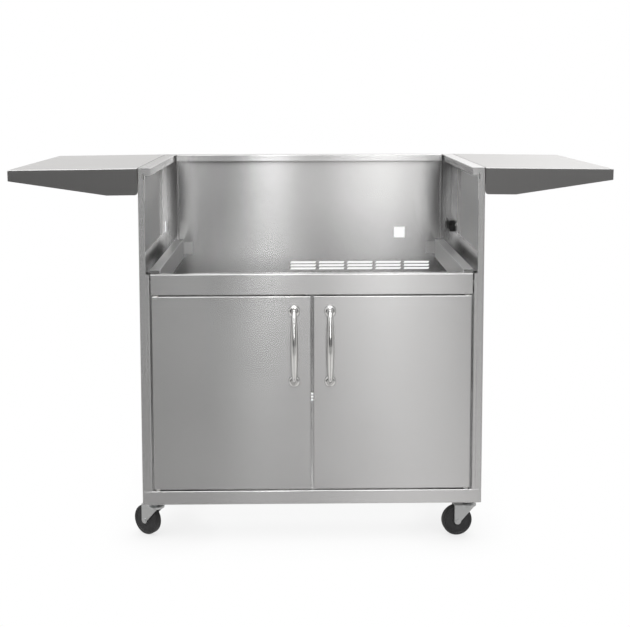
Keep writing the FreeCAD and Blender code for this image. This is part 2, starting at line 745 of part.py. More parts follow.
def door_bushes(side):
    """Return the two plastic bushes in which a door turns on its pins."""
    bore = PIN_RADIUS + RUNNING_CLEARANCE
    outer = bore + BUSH_WALL
    collar = outer + BUSH_COLLAR
    bushes = []
    for edge_z, inward in ((DOOR_TOP, Z_AXIS.negative()), (DOOR_BOTTOM, Z_AXIS)):
        seat = Vector(PIN_X, PIN_Y, edge_z)
        rim = rod(collar, seat, BUSH_COLLAR, inward.negative())
        sleeve = rod(outer, seat, BUSH_LENGTH, inward)
        start = seat - inward * BUSH_COLLAR
        hole = rod(bore, start, BUSH_LENGTH + BUSH_COLLAR, inward)
        bushes.append(joined(rim, sleeve).cut(hole))
    return handed(Part.makeCompound(bushes), side)


def door_strike(side):
    """Return the steel plate on a door that the magnetic catch holds."""
    half = STRIKE_LENGTH / 2
    back = FRONT + DOOR_THICK
    z1 = DOOR_TOP - SHEET
    strike = block(
        (CATCH_FROM_MIDDLE - half, CATCH_FROM_MIDDLE + half),
        (back, back + STRIKE_THICK),
        (z1 - STRIKE_HEIGHT, z1),
    )
    return handed(strike, side)


def magnetic_catches():
    """Return the two magnetic catches under the front rail, one behind each door."""
    half = CATCH_LENGTH / 2
    y0 = FRONT + DOOR_THICK + STRIKE_THICK + SEAT_CLEARANCE
    catch = block(
        (CATCH_FROM_MIDDLE - half, CATCH_FROM_MIDDLE + half),
        (y0, y0 + CATCH_DEPTH),
        (RAIL_BOTTOM - CATCH_HEIGHT, RAIL_BOTTOM),
    )
    return Part.makeCompound([handed(catch, side) for side in SIDES.values()])


# Handles

def handle_ends():
    """Return the heights of a handle's two fixing points."""
    return (HANDLE_Z - HANDLE_CENTRES / 2, HANDLE_Z + HANDLE_CENTRES / 2)


def handle_section(turn):
    """Return the round section of the bow at one turn, from 0 at its top to 180 at its foot."""
    angle = math.radians(turn)
    swell = math.sin(angle) ** 2
    radius = HANDLE_END_RADIUS + (HANDLE_GRIP_RADIUS - HANDLE_END_RADIUS) * swell
    seat_y = FRONT - ROSETTE_THICK
    centre = Vector(
        HANDLE_X,
        seat_y - HANDLE_BOW * math.sin(angle),
        HANDLE_Z + HANDLE_CENTRES / 2 * math.cos(angle),
    )
    along = Vector(0, -HANDLE_BOW * math.cos(angle), -HANDLE_CENTRES / 2 * math.sin(angle))
    return Part.Wire(Part.makeCircle(radius, centre, along))


def door_handle(side):
    """Return a bow handle that swells towards the middle of the grip."""
    turns = [180.0 * step / (HANDLE_STATIONS - 1) for step in range(HANDLE_STATIONS)]
    bow = Part.makeLoft([handle_section(turn) for turn in turns], True)
    seat_y = FRONT - ROSETTE_THICK
    holes = [rod(HANDLE_SCREW_RADIUS, Vector(HANDLE_X, seat_y, z), HANDLE_SCREW_DEPTH, Y_AXIS.negative())
             for z in handle_ends()]
    return handed(bored(bow, *holes), side)


def handle_rosettes(side):
    """Return the two round feet between handle and door."""
    rosettes = []
    for z in handle_ends():
        foot = rod(ROSETTE_RADIUS, Vector(HANDLE_X, FRONT, z), ROSETTE_THICK, Y_AXIS.negative())
        rim = [edge for edge in foot.Edges
               if edge.Curve.TypeId == "Part::GeomCircle"
               and abs(edge.BoundBox.Center.y - (FRONT - ROSETTE_THICK)) < SHEET / 2]
        foot = foot.makeFillet(ROSETTE_EDGE, rim)
        hole = rod(HANDLE_SCREW_RADIUS, Vector(HANDLE_X, FRONT, z), ROSETTE_THICK, Y_AXIS.negative())
        rosettes.append(foot.cut(hole))
    return handed(Part.makeCompound(rosettes), side)


def handle_screws(side):
    """Return the two screws that hold a handle from inside the door."""
    screws = []
    for z in handle_ends():
        inside = Vector(HANDLE_X, FRONT + SHEET, z)
        head = rod(HANDLE_SCREW_HEAD, inside, HANDLE_SCREW_HEAD_THICK, Y_AXIS)
        length = SHEET + ROSETTE_THICK + HANDLE_SCREW_DEPTH
        shank = rod(HANDLE_SCREW_RADIUS, inside, length, Y_AXIS.negative())
        screws.append(joined(head, shank))
    return handed(Part.makeCompound(screws), side)


# Side shelves

def shelf_bottom(x):
    """Return the height of the lower edge of a shelf's long flange at a distance x."""
    bend = SHELF_INNER_X + SHELF_STRAIGHT
    share = max(0.0, (x - bend) / (SHELF_OUTER_X - bend))
    return BODY_TOP - SHELF_FLANGE + share * (SHELF_FLANGE - SHELF_END_FLANGE)


def shelf_outline():
    """Return the corner points of a shelf's tapered side, seen from the front."""
    bend = SHELF_INNER_X + SHELF_STRAIGHT
    lower = [Vector(x, FRONT, shelf_bottom(x)) for x in (SHELF_OUTER_X, bend, SHELF_INNER_X)]
    return [Vector(SHELF_INNER_X, FRONT, BODY_TOP), Vector(SHELF_OUTER_X, FRONT, BODY_TOP)] + lower


def settled(shape, side):
    """Return a right shelf piece lowered to its rest angle, on the wanted side."""
    sagged = shape.copy()
    sagged.rotate(Vector(PIVOT_X, 0, PIVOT_Z), Y_AXIS, SHELF_SAG_ANGLE)
    return handed(sagged, side)


def side_shelf(side):
    """Return the folded shelf pan: top, two tapered flanges and a shallow outer flange."""
    body = softened(
        plate(shelf_outline(), Vector(0, BODY_DEPTH, 0)),
        BEND_RADIUS,
        {"y": FRONT, "z": BODY_TOP},
        {"y": BACK, "z": BODY_TOP},
        {"x": SHELF_OUTER_X, "z": BODY_TOP},
    )
    hollow = block(
        (SHELF_INNER_X - SHEET, SHELF_OUTER_X - SHEET),
        (FRONT + SHEET, BACK - SHEET),
        (BODY_TOP - 2 * SHELF_FLANGE, UNDER_RIM),
    )
    pan = softened(
        body.cut(hollow),
        SHELF_PIVOT_INSET,
        {"x": SHELF_INNER_X, "z": BODY_TOP - SHELF_FLANGE},
    )
    return settled(pan, side)


def ear_places():
    """Return the y of the near face of the front and of the rear bracket ear."""
    return (FRONT + EAR_FROM_FRONT, BACK - EAR_FROM_FRONT - EAR_THICK)


def lug_places():
    """Return the y of the near face of each shelf lug, on the inner side of its ear."""
    front_ear, rear_ear = ear_places()
    return (front_ear + EAR_THICK + LUG_GAP, rear_ear - LUG_GAP - LUG_THICK)


def shelf_hinge_channel(side):
    """Return the channel that closes a shelf's inner end and turns on the hinge rod."""
    web_bottom = PIVOT_Z + WEB_ABOVE_PIVOT
    web_x = (SHELF_INNER_X, SHELF_INNER_X + SHEET)
    web = block(web_x, (FRONT + SHEET, BACK - SHEET), (web_bottom, UNDER_RIM))
    top_flange = block(
        (SHELF_INNER_X, SHELF_INNER_X + LUG_LENGTH),
        (FRONT + SHEET, BACK - SHEET),
        (UNDER_RIM - SHEET, UNDER_RIM),
    )
    channel = joined(web, top_flange)
    bore = SHELF_ROD_RADIUS + RUNNING_CLEARANCE
    for y in lug_places():
        ys = (y, y + LUG_THICK)
        lug = joined(
            rod(LUG_RADIUS, Vector(PIVOT_X, y, PIVOT_Z), LUG_THICK, Y_AXIS),
            block((PIVOT_X - LUG_RADIUS, PIVOT_X), ys, (PIVOT_Z, web_bottom)),
            block((SHELF_INNER_X, PIVOT_X), ys, (web_bottom, UNDER_RIM)),
            plate(
                [
                    Vector(PIVOT_X, y, PIVOT_Z - LUG_RADIUS),
                    Vector(SHELF_INNER_X + LUG_LENGTH, y, PIVOT_Z + LUG_RADIUS),
                    Vector(SHELF_INNER_X + LUG_LENGTH, y, UNDER_RIM),
                    Vector(PIVOT_X, y, UNDER_RIM),
                ],
                Vector(0, LUG_THICK, 0),
            ),
        )
        hole = rod(bore, Vector(PIVOT_X, y, PIVOT_Z), LUG_THICK, Y_AXIS)
        channel = joined(channel, lug).cut(hole)
    return settled(channel, side)


def shelf_stiffener(side):
    """Return the hat-shaped stiffener that runs under a shelf from flange to flange."""
    x0 = SHELF_INNER_X + STIFFENER_AT
    x1 = x0 + STIFFENER_WIDTH
    ys = (FRONT + SHEET, BACK - SHEET)
    z0 = UNDER_RIM - STIFFENER_HEIGHT
    crown = block((x0, x1), ys, (z0, z0 + SHEET))
    walls = [block((x, x + SHEET), ys, (z0, UNDER_RIM)) for x in (x0, x1 - SHEET)]
    brims = [
        block((x0 - STIFFENER_HEIGHT, x0 + SHEET), ys, (UNDER_RIM - SHEET, UNDER_RIM)),
        block((x1 - SHEET, x1 + STIFFENER_HEIGHT), ys, (UNDER_RIM - SHEET, UNDER_RIM)),
    ]
    return settled(joined(crown, *walls, *brims), side)


def shelf_bracket(side):
    """Return the bracket on the side wall: a long strip with an ear near each end."""
    front_ear, rear_ear = ear_places()
    ys = (front_ear - BRACKET_MARGIN, rear_ear + EAR_THICK + BRACKET_MARGIN)
    z0 = PIVOT_Z - BRACKET_HEIGHT / 2
    strip = block((HALF, HALF + BRACKET_THICK), ys, (z0, z0 + BRACKET_HEIGHT))
    ears = []
    for y in ear_places():
        tongue = block(
            (HALF, PIVOT_X), (y, y + EAR_THICK), (PIVOT_Z - EAR_RADIUS, PIVOT_Z + EAR_RADIUS)
        )
        ears.append(joined(tongue, rod(EAR_RADIUS, Vector(PIVOT_X, y, PIVOT_Z), EAR_THICK, Y_AXIS)))
    holes = [rod(SHELF_ROD_RADIUS, Vector(PIVOT_X, y, PIVOT_Z), EAR_THICK, Y_AXIS) for y in ear_places()]
    return handed(bored(joined(strip, *ears), *holes), side)


def shelf_rod(side):
    """Return the rod on which a shelf folds down, fixed in the bracket's ears."""
    front_ear, rear_ear = ear_places()
    start = front_ear - SHELF_ROD_OVERHANG
    length = rear_ear + EAR_THICK + SHELF_ROD_OVERHANG - start
    return handed(rod(SHELF_ROD_RADIUS, Vector(PIVOT_X, start, PIVOT_Z), length, Y_AXIS), side)


# Casters

def placed(shape, name):
    """Return a caster piece turned to its heading and moved under its corner."""
    moved = shape.copy()
    moved.rotate(ORIGIN, Z_AXIS, CASTER_HEADINGS[name])
    moved.translate(caster_places()[name])
    return moved


def fork_arm(y0):
    """Return one tapered fork arm whose inner face starts at y0, with a round tip at the axle."""
    lead, tip = FORK_ARM_LEAD, FORK_ARM_TIP
    trailing = CASTER_TRAIL + tip
    corners = [
        Vector(-lead, y0, FORK_TOP),
        Vector(trailing, y0, FORK_TOP),
        Vector(trailing, y0, WHEEL_RADIUS),
        Vector(CASTER_TRAIL - tip, y0, WHEEL_RADIUS),
        Vector(-lead, y0, FORK_TOP - FORK_LEAD_DROP),
    ]
    arm = plate(corners, Vector(0, FORK_SHEET, 0))
    end = rod(tip, Vector(CASTER_TRAIL, y0, WHEEL_RADIUS), FORK_SHEET, Y_AXIS)
    hole = rod(AXLE_RADIUS, Vector(CASTER_TRAIL, y0, WHEEL_RADIUS), FORK_SHEET, Y_AXIS)
    return joined(arm, end).cut(hole)


def fork_crown():
    """Return the cup-shaped crown of a fork, with a recess on top and room for the wheel."""
    skirt_bottom = FORK_TOP - CROWN_SKIRT
    cup = rod(CROWN_RADIUS, Vector(0, 0, skirt_bottom), CROWN_SKIRT)
    rim = [edge for edge in cup.Edges if edge.BoundBox.ZMin > FORK_TOP - TOUCH]
    hollow = rod(CROWN_RADIUS - FORK_SHEET, Vector(0, 0, skirt_bottom), CROWN_SKIRT - CROWN_THICK)
    around_wheel = rod(
        WHEEL_RADIUS + WHEEL_ROOM,
        Vector(CASTER_TRAIL, -ARM_INNER, WHEEL_RADIUS),
        2 * ARM_INNER,
        Y_AXIS,
    )
    return cup.makeFillet(CROWN_EDGE, rim).cut(hollow).cut(around_wheel)


def caster_fork(name):
    """Return a pressed fork: a crown that turns on the king pin and two arms."""
    bridge = block(
        (-FORK_ARM_LEAD, CASTER_TRAIL + FORK_ARM_TIP),
        (-ARM_OUTER, ARM_OUTER),
        (FORK_TOP - FORK_SHEET, FORK_TOP),
    )
    yoke = softened(
        joined(bridge, fork_arm(ARM_INNER), fork_arm(-ARM_OUTER)),
        FORK_SHOULDER,
        {"y": -ARM_OUTER, "z": FORK_TOP},
        {"y": ARM_OUTER, "z": FORK_TOP},
    )
    recess = rod(CROWN_RECESS_RADIUS, Vector(0, 0, FORK_TOP - CROWN_RECESS), CROWN_RECESS)
    king_bore = rod(
        KING_RADIUS + RUNNING_CLEARANCE, Vector(0, 0, FORK_TOP - CROWN_THICK), CROWN_THICK
    )
    return placed(joined(yoke, fork_crown()).cut(recess).cut(king_bore), name)


def caster_wheel(name):
    """Return a solid wheel with a rounded tread, dished sides and a hub."""
    half = WHEEL_WIDTH / 2
    face = half - WHEEL_DISH
    bore = AXLE_RADIUS + RUNNING_CLEARANCE
    tread_in = WHEEL_RADIUS - WHEEL_EDGE
    rim_in = WHEEL_RADIUS - WHEEL_RIM_INSET
    hub = WHEEL_HUB_RADIUS

    def side_points(sign):
        return [Vector(bore, 0, sign * half), Vector(hub, 0, sign * half),
                Vector(hub + WHEEL_DISH, 0, sign * face), Vector(rim_in, 0, sign * face),
                Vector(rim_in + WHEEL_DISH, 0, sign * half), Vector(tread_in, 0, sign * half)]

    quarter = math.sqrt(0.5) * WHEEL_EDGE
    edges = []
    upper, lower = side_points(1), side_points(-1)
    for points in (upper, lower):
        edges += [Part.makeLine(a, b) for a, b in zip(points, points[1:])]
    shoulder = half - WHEEL_EDGE
    for sign, points in ((1, upper), (-1, lower)):
        middle = Vector(tread_in + quarter, 0, sign * (shoulder + quarter))
        edges.append(Part.Arc(points[-1], middle, Vector(WHEEL_RADIUS, 0, sign * shoulder)).toShape())
    edges.append(Part.makeLine(Vector(WHEEL_RADIUS, 0, shoulder), Vector(WHEEL_RADIUS, 0, -shoulder)))
    edges.append(Part.makeLine(upper[0], lower[0]))
    outline = Part.Wire(Part.__sortEdges__(edges))
    wheel = Part.Face(outline).revolve(ORIGIN, Z_AXIS, 360)
    wheel.rotate(ORIGIN, X_AXIS, 90)
    wheel.translate(Vector(CASTER_TRAIL, 0, WHEEL_RADIUS))
    return placed(wheel, name)


def caster_axle(name):
    """Return the riveted axle of a caster, fixed in both fork arms."""
    centre = Vector(CASTER_TRAIL, 0, WHEEL_RADIUS)
    shank = rod(AXLE_RADIUS, centre - Y_AXIS * ARM_OUTER, 2 * ARM_OUTER, Y_AXIS)
    heads = [rod(AXLE_HEAD_RADIUS, centre + Y_AXIS * (sign * ARM_OUTER), AXLE_HEAD_THICK, Y_AXIS * sign)
             for sign in (-1, 1)]
    return placed(joined(shank, *heads), name)


def caster_stems():
    """Return the four fixed caster tops: stem, flange under the base, race, neck and king pin."""
    flange_bottom = CASTER_HEIGHT - STEM_FLANGE_THICK
    race_bottom = CASTER_HEIGHT - RACE_DROP
    neck_bottom = FORK_TOP - CROWN_RECESS + SEAT_CLEARANCE
    king_bottom = FORK_TOP - CROWN_THICK - SEAT_CLEARANCE
    rounds = (
        (STEM_RADIUS, CASTER_HEIGHT, CASTER_HEIGHT + STEM_LENGTH),
        (STEM_FLANGE_RADIUS, flange_bottom, CASTER_HEIGHT),
        (RACE_RADIUS, race_bottom, flange_bottom),
        (NECK_RADIUS, neck_bottom, race_bottom),
        (KING_RADIUS, king_bottom, neck_bottom),
        (KING_HEAD_RADIUS, king_bottom - KING_HEAD_THICK, king_bottom),
    )
    stems = []
    for place in caster_places().values():
        levels = [rod(radius, Vector(place.x, place.y, low), high - low) for radius, low, high in rounds]
        stems.append(joined(*levels))
    return Part.makeCompound(stems)


def caster_nuts():
    """Return the four nuts that hold the casters' stems inside the base."""
    z0 = BASE_BOTTOM + SHEET + CORNER_PLATE_THICK
    radius = NUT_ACROSS / math.sqrt(3)
    nuts = []
    for place in caster_places().values():
        corners = []
        for step in range(6):
            angle = math.radians(60 * step)
            corners.append(Vector(place.x + radius * math.cos(angle),
                                  place.y + radius * math.sin(angle), z0))
        hexagon = plate(corners, Vector(0, 0, NUT_THICK))
        nuts.append(hexagon.cut(rod(STEM_RADIUS, Vector(place.x, place.y, z0), NUT_THICK)))
    return Part.makeCompound(nuts)


def fixed_pieces():
    """Return the pieces of the body that are not left or right ones, by name."""
    return {
        "base_tray": base_tray(),
        "base_corner_plates": base_corner_plates(),
        "back_panel": back_panel(),
        "back_top_rim": back_rim(),
        "front_rail": front_rail(),
        "door_pivot_pins": door_pins(),
        "magnetic_catches": magnetic_catches(),
        "hose_bushing": hose_bushing(),
        "frame_rivets": frame_rivets(),
        "caster_stems": caster_stems(),
        "caster_nuts": caster_nuts(),
    }


def handed_pieces():
    """Return the pieces that come as a left and a right one, by name."""
    makers = {
        "side_panel": side_panel,
        "side_liner": side_liner,
        "shelf_band": shelf_band,
        "hinge_stile": hinge_stile,
        "side_rim": side_rim,
        "grill_rail": grill_rail,
        "door_panel": door_panel,
        "door_liner": door_liner,
        "door_bushes": door_bushes,
        "door_strike": door_strike,
        "door_handle": door_handle,
        "handle_rosettes": handle_rosettes,
        "handle_screws": handle_screws,
        "side_shelf": side_shelf,
        "shelf_hinge_channel": shelf_hinge_channel,
        "shelf_stiffener": shelf_stiffener,
        "shelf_bracket": shelf_bracket,
        "shelf_hinge_rod": shelf_rod,
    }
    pieces = {}
    for hand, side in SIDES.items():
        for name, maker in makers.items():
            pieces[f"{hand}_{name}"] = maker(side)
    return pieces


def caster_pieces():
    """Return the fork, wheel and axle of every caster, by name."""
    pieces = {}
    for name in CASTER_HEADINGS:
        pieces[f"{name}_fork"] = caster_fork(name)
        pieces[f"{name}_wheel"] = caster_wheel(name)
        pieces[f"{name}_axle"] = caster_axle(name)
    return pieces


def main():
    """Build every piece and write one STEP file for each."""
    os.makedirs("parts", exist_ok=True)
    pieces = {**fixed_pieces(), **handed_pieces(), **caster_pieces()}
    for name, shape in pieces.items():
        shape.exportStep(f"parts/{name}.step")
        box = shape.BoundBox
        print(f"{name}: {len(shape.Solids)} solid(s), valid {shape.isValid()}, "
              f"{box.XLength:.1f} x {box.YLength:.1f} x {box.ZLength:.1f}")
    print(f"{len(pieces)} nodes")
    whole = Part.makeCompound(list(pieces.values())).optimalBoundingBox()
    print(f"x {whole.XMin:.2f} {whole.XMax:.2f}, y {whole.YMin:.2f} {whole.YMax:.2f}, "
          f"z {whole.ZMin:.2f} {whole.ZMax:.2f}")
    print(f"shelf pivot x {PIVOT_X:.3f} z {PIVOT_Z:.3f}, door pin x {PIN_X:.3f} y {PIN_Y:.3f}, "
          f"swivel x {SWIVEL_X:.3f} y {SWIVEL_Y['front']:.3f} {SWIVEL_Y['rear']:.3f}")


if __name__ == "__main__":
    main()
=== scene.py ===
"""Looks of a stainless grill cart: brushed sheet steel, chrome bow handles and black caster wheels.

Lengths are in metres, Z is up and the doors face -Y.
"""

import enum
import logging
import math
from dataclasses import dataclass, field
from typing import ClassVar

import bmesh
import bpy
from mathutils import Matrix

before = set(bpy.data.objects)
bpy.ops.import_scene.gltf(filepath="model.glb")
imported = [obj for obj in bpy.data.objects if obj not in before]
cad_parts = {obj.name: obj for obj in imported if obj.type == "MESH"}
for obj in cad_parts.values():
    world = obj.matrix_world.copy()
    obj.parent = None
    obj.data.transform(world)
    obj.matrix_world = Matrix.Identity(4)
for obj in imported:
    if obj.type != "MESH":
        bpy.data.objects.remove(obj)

LOG = logging.getLogger("grill_cart")
EVEN = (1.0, 1.0, 1.0)
NOISE_LOW = 0.3
NOISE_HIGH = 0.7

Colour = tuple[float, float, float, float]
Triple = tuple[float, float, float]


class Grain(enum.Enum):
    """Direction in which a sheet was brushed, as the stretch of its pattern along X, Y and Z."""

    ALONG_X = (0.02, 1.0, 1.0)
    ALONG_Y = (1.0, 0.02, 1.0)
    ALONG_Z = (1.0, 1.0, 0.02)


class Hand(enum.Enum):
    """Side of the cart, seen from the front."""

    LEFT = "left"
    RIGHT = "right"


def grey(level: float, warmth: float = 0.0) -> Colour:
    """Mix an opaque grey.

    Args:
        level: its brightness.
        warmth: how far it leans to yellow.

    Returns:
        The colour.
    """
    return (level * (1 + warmth), level, level * (1 - warmth), 1.0)


def scaled(colour: Triple, factor: float) -> Colour:
    """Make a colour darker or lighter.

    Args:
        colour: red, green and blue.
        factor: what each is multiplied by, up to full brightness.

    Returns:
        The opaque colour.
    """
    return tuple(min(1.0, part * factor) for part in colour) + (1.0,)


class Nodes:
    """A node tree that is filled from the code.

    Args:
        tree: the node tree of a material or of the world.
    """

    # Places of the factor and of both colours among a Mix node's inputs, and of the colour it gives
    MIX_INPUTS: ClassVar[tuple[int, int, int]] = (0, 6, 7)
    MIX_OUTPUT: ClassVar[int] = 2

    def __init__(self, tree: bpy.types.NodeTree) -> None:
        """Empty the tree and keep it."""
        self.tree = tree
        tree.nodes.clear()

    def add(self, kind: str, **values: object) -> bpy.types.Node:
        """Add a node.

        Args:
            kind: the node's type name without the ShaderNode prefix.
            values: the node's own properties.

        Returns:
            The new node.
        """
        node = self.tree.nodes.new(f"ShaderNode{kind}")
        for name, value in values.items():
            setattr(node, name, value)
        return node

    def feed(self, socket: bpy.types.NodeSocket, source: object) -> None:
        """Link a source socket to an input, or set the input to a plain value.

        Args:
            socket: the input.
            source: an output socket or a value.
        """
        if isinstance(source, bpy.types.NodeSocket):
            self.tree.links.new(source, socket)
        else:
            socket.default_value = source

    def math(self, operation: str, *sources: object) -> bpy.types.NodeSocket:
        """Add one Math node.

        Args:
            operation: the node's operation.
            sources: sockets or values, in the order of its inputs.

        Returns:
            The result.
        """
        node = self.add("Math", operation=operation)
        for socket, source in zip(node.inputs, sources):
            self.feed(socket, source)
        return node.outputs[0]

    def remap(self, source: object, low: float, high: float,
              to_low: float, to_high: float) -> bpy.types.NodeSocket:
        """Move a value smoothly from one range to another, and hold it at the ends.

        Args:
            source: the value.
            low: start of its range.
            high: end of its range.
            to_low: result at the start.
            to_high: result at the end.

        Returns:
            The moved value.
        """
        node = self.add("MapRange", interpolation_type="SMOOTHSTEP")
        inputs = ("Value", "From Min", "From Max", "To Min", "To Max")
        for name, value in zip(inputs, (source, low, high, to_low, to_high)):
            self.feed(node.inputs[name], value)
        return node.outputs["Result"]

    def mix(self, factor: object, first: object, second: object, blend: str = "MIX") -> bpy.types.NodeSocket:
        """Mix two colours.

        Args:
            factor: share of the second colour.
            first: the first colour.
            second: the second colour.
            blend: the way they are mixed.

        Returns:
            The mixed colour.
        """
        node = self.add("Mix", data_type="RGBA", blend_type=blend)
        for place, source in zip(self.MIX_INPUTS, (factor, first, second)):
            self.feed(node.inputs[place], source)
        return node.outputs[self.MIX_OUTPUT]

    def noise(self, vector: object, scale: float,
              detail: float = 2.0, rough: float = 0.5) -> bpy.types.NodeSocket:
        """Add a noise pattern.

        Args:
            vector: the place where it is read.
            scale: how fine it is.
            detail: number of finer layers.
            rough: strength of the finer layers.

        Returns:
            A value around 0.5.
        """
        node = self.add("TexNoise")
        self.feed(node.inputs["Vector"], vector)
        node.inputs["Scale"].default_value = scale
        node.inputs["Detail"].default_value = detail
        node.inputs["Roughness"].default_value = rough
        return node.outputs["Fac"]

    def stretched(self, scale: Triple) -> bpy.types.NodeSocket:
        """Scale the object coordinates along each axis.

        Args:
            scale: the factors along X, Y and Z.

        Returns:
            The scaled coordinates.
        """
        place = self.add("TexCoord")
        mapping = self.add("Mapping")
        mapping.inputs["Scale"].default_value = scale
        self.feed(mapping.inputs["Vector"], place.outputs["Object"])
        return mapping.outputs["Vector"]

    def relief(self, shader: bpy.types.Node, height: object, strength: float, distance: float) -> None:
        """Give a shader a fine relief.

        Args:
            shader: the shader.
            height: the pattern of the relief.
            strength: its strength.
            distance: its height in metres.
        """
        bump = self.add("Bump")
        bump.inputs["Strength"].default_value = strength
        bump.inputs["Distance"].default_value = distance
        self.feed(bump.inputs["Height"], height)
        self.feed(shader.inputs["Normal"], bump.outputs["Normal"])

    def seen_directly(self) -> bpy.types.NodeSocket:
        """Tell the camera's rays, and those through clear pieces, from all others.

        Returns:
            1 for such a ray and 0 for any other.
        """
        path = self.add("LightPath")
        return self.math("MAXIMUM", path.outputs["Is Camera Ray"], path.outputs["Is Transmission Ray"])

    def finish(self, kind: str, surface: bpy.types.Node) -> None:
        """Lead a shader to the tree's output.

        Args:
            kind: the output node's type name without the ShaderNode prefix.
            surface: the shader.
        """
        output = self.add(kind)
        self.feed(output.inputs["Surface"], surface.outputs[0])


def empty_material(name: str) -> tuple[bpy.types.Material, Nodes]:
    """Make a material without nodes.

    Args:
        name: its name.

    Returns:
        The material and its node tree.
    """
    material = bpy.data.materials.new(name)
    material.use_nodes = True
    return material, Nodes(material.node_tree)


@dataclass(frozen=True)
class BrushedSteel:
    """Brushed stainless sheet, whose fine lines run in one direction.

    Args:
        name: the material's name.
        grain: direction of the lines.
        tint: reflectance of the bare metal.
        warmth: how far the metal leans to yellow.
        roughness: mean roughness.
        spread: anisotropy of the highlight across the lines.
        depth: strength of the lines' relief.
    """

    name: str
    grain: Grain
    tint: float = 0.6
    warmth: float = 0.004
    roughness: float = 0.225
    spread: float = 1.0
    depth: float = 0.005
    LINE_SCALE: ClassVar[float] = 3200.0
    LINE_DETAIL: ClassVar[float] = 3.0
    LINE_CONTRAST: ClassVar[float] = 0.6
    LINE_HEIGHT: ClassVar[float] = 0.0002
    LINE_ROUGHNESS: ClassVar[float] = 0.003
    STREAK_SCALE: ClassVar[float] = 260.0
    CLOUD_SCALE: ClassVar[float] = 7.0
    CLOUD_ROUGHNESS: ClassVar[float] = 0.004
    DARK_LINE: ClassVar[float] = 0.96
    BRIGHT_LINE: ClassVar[float] = 1.04
    BRIGHT_LINE_WARMTH: ClassVar[float] = 0.5
    ACROSS: ClassVar[dict[Grain, Triple]] = {
        Grain.ALONG_X: (0.02, 0.05, 1.0),
        Grain.ALONG_Y: (0.05, 0.02, 1.0),
        Grain.ALONG_Z: (1.0, 0.05, 0.02),
    }

    def across(self, nodes: Nodes) -> bpy.types.NodeSocket:
        """Give the direction, not along the lines, in which the highlight spreads.

        Args:
            nodes: the material's node tree.

        Returns:
            The direction.
        """
        direction = nodes.add("CombineXYZ")
        for socket, value in zip(direction.inputs, self.ACROSS[self.grain]):
            socket.default_value = value
        return direction.outputs[0]

    def build(self) -> bpy.types.Material:
        """Build the material.

        Returns:
            The material.
        """
        material, nodes = empty_material(self.name)
        along = nodes.stretched(self.grain.value)
        lines = nodes.noise(along, self.LINE_SCALE, self.LINE_DETAIL, self.LINE_CONTRAST)
        streaks = nodes.noise(along, self.STREAK_SCALE)
        clouds = nodes.noise(nodes.stretched(EVEN), self.CLOUD_SCALE)
        worn = nodes.math("ADD", nodes.math("MULTIPLY", lines, 0.5), nodes.math("MULTIPLY", streaks, 0.5))
        dark = grey(self.tint * self.DARK_LINE, self.warmth)
        bright = grey(self.tint * self.BRIGHT_LINE, self.warmth * self.BRIGHT_LINE_WARMTH)
        shader = nodes.add("BsdfPrincipled")
        nodes.feed(shader.inputs["Base Color"], nodes.mix(worn, dark, bright))
        shader.inputs["Metallic"].default_value = 1.0
        fine = nodes.remap(worn, NOISE_LOW, NOISE_HIGH, -self.LINE_ROUGHNESS, self.LINE_ROUGHNESS)
        wide = nodes.remap(clouds, NOISE_LOW, NOISE_HIGH, self.roughness - self.CLOUD_ROUGHNESS,
                           self.roughness + self.CLOUD_ROUGHNESS)
        nodes.feed(shader.inputs["Roughness"], nodes.math("ADD", fine, wide))
        shader.inputs["Anisotropic"].default_value = self.spread
        nodes.feed(shader.inputs["Tangent"], self.across(nodes))
        nodes.relief(shader, lines, self.depth, self.LINE_HEIGHT)
        nodes.finish("OutputMaterial", shader)
        return material


@dataclass(frozen=True)
class PlainMetal:
    """Polished or plated metal with faint clouding.

    Args:
        name: the material's name.
        tint: reflectance of the metal, red, green and blue.
        roughness: mean roughness.
        clouding: how far the colour varies.
        cloud_scale: scale of the clouding.
    """

    name: str
    tint: Triple
    roughness: float
    clouding: float = 0.04
    cloud_scale: float = 60.0
    CLOUD_DETAIL: ClassVar[float] = 4.0
    SMOOTHEST: ClassVar[float] = 0.8
    ROUGHEST: ClassVar[float] = 1.25

    def build(self) -> bpy.types.Material:
        """Build the material.

        Returns:
            The material.
        """
        material, nodes = empty_material(self.name)
        clouds = nodes.noise(nodes.stretched(EVEN), self.cloud_scale, self.CLOUD_DETAIL)
        low, high = scaled(self.tint, 1 - self.clouding), scaled(self.tint, 1 + self.clouding)
        shader = nodes.add("BsdfPrincipled")
        nodes.feed(shader.inputs["Base Color"], nodes.mix(clouds, low, high))
        shader.inputs["Metallic"].default_value = 1.0
        rough = nodes.remap(clouds, NOISE_LOW, NOISE_HIGH, self.roughness * self.SMOOTHEST,
                            self.roughness * self.ROUGHEST)
        nodes.feed(shader.inputs["Roughness"], rough)
        nodes.finish("OutputMaterial", shader)
        return material


